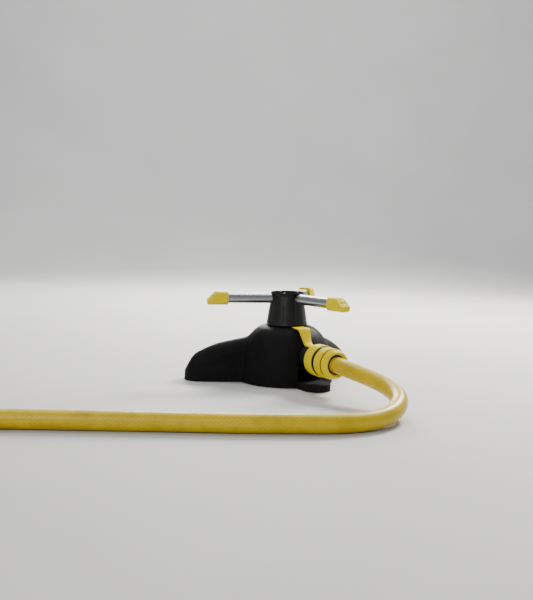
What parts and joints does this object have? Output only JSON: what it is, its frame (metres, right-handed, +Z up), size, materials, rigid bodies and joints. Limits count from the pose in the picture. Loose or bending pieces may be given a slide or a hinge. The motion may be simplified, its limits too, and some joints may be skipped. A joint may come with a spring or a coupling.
{
  "type": "lawn sprinkler",
  "caption": "Rotary lawn sprinkler with straight arms on a tapered hub, turning nozzle caps, an arched black base, a yellow inlet collar, quick coupling and leader hose.",
  "frame": {"origin": "on the ground under the rotor's axis, at the bottom face of the base", "axes": "+Z up along the rotor's axis, -Y out of the water inlet"},
  "size_m": [0.7872, 0.4482, 0.1173],
  "materials": {
    "black_plastic": "satin moulded black plastic",
    "yellow_plastic": "satin moulded yellow plastic",
    "arm_aluminium": "brushed along the arm",
    "steel": "turned",
    "acetal": "natural",
    "rubber": "matte",
    "hose_yellow": "smooth garden hose"
  },
  "bodies": {
    "base": {"base_shell": "black_plastic", "bottom_cover": "black_plastic", "cover_screws": "steel", "water_channel": "black_plastic", "dome_nut": "black_plastic", "inlet_collar": "yellow_plastic", "inlet_spigot": "black_plastic", "inlet_seal": "rubber", "spindle": "steel", "spindle_seal": "rubber", "thrust_washer": "acetal", "top_washer": "acetal", "retaining_nut": "steel", "near_body": "black_plastic", "near_claws": "acetal", "near_seal": "rubber", "near_nut": "yellow_plastic", "near_collet": "black_plastic", "hose_run": "hose_yellow", "hose_coil": "hose_yellow", "hose_tail": "hose_yellow", "far_body": "black_plastic", "far_claws": "acetal", "far_seal": "rubber", "far_nut": "yellow_plastic", "far_collet": "black_plastic"},
    "rotor": {"rotor_housing": "black_plastic", "rotor_cap": "black_plastic", "rotor_manifold": "acetal", "lower_bush": "acetal", "upper_bush": "acetal", "rotor_seal": "rubber", "arm_tube_1": "arm_aluminium", "arm_tube_2": "arm_aluminium", "arm_tube_3": "arm_aluminium", "arm_o_rings": "rubber"},
    "nozzle_1": {"nozzle_cap_1": "yellow_plastic", "jet_plate_1": "yellow_plastic", "nozzle_o_ring_1": "rubber"},
    "nozzle_2": {"nozzle_cap_2": "yellow_plastic", "jet_plate_2": "yellow_plastic", "nozzle_o_ring_2": "rubber"},
    "nozzle_3": {"nozzle_cap_3": "yellow_plastic", "jet_plate_3": "yellow_plastic", "nozzle_o_ring_3": "rubber"},
    "near_release": {"near_sleeve": "yellow_plastic"},
    "far_release": {"far_sleeve": "yellow_plastic"}
  },
  "joints": [
    {"name": "rotor_spin", "type": "hinge", "parent": "base", "child": "rotor", "pos_m": [0, 0, 0.11], "axis": [0, 0, 1], "continuous": true},
    {"name": "nozzle_1_twist", "type": "hinge", "parent": "rotor", "child": "nozzle_1", "pos_m": [0.06582, 0.06138, 0.1087], "axis": [0.7314, 0.682, 0], "range_deg": [-45, 45]},
    {"name": "nozzle_2_twist", "type": "hinge", "parent": "rotor", "child": "nozzle_2", "pos_m": [-0.08607, 0.02631, 0.1087], "axis": [-0.9563, 0.2924, 0], "range_deg": [-45, 45]},
    {"name": "nozzle_3_twist", "type": "hinge", "parent": "rotor", "child": "nozzle_3", "pos_m": [0.02025, -0.08769, 0.1087], "axis": [0.225, -0.9744, 0], "range_deg": [-45, 45]},
    {"name": "near_sleeve_slide", "type": "slide", "parent": "base", "child": "near_release", "axis": [0, -1, 0], "range_m": [0, 0.0035], "stiffness_N_per_m": 600},
    {"name": "far_sleeve_slide", "type": "slide", "parent": "base", "child": "far_release", "axis": [0, 1, 0], "range_m": [0, 0.0035], "stiffness_N_per_m": 600}
  ]
}
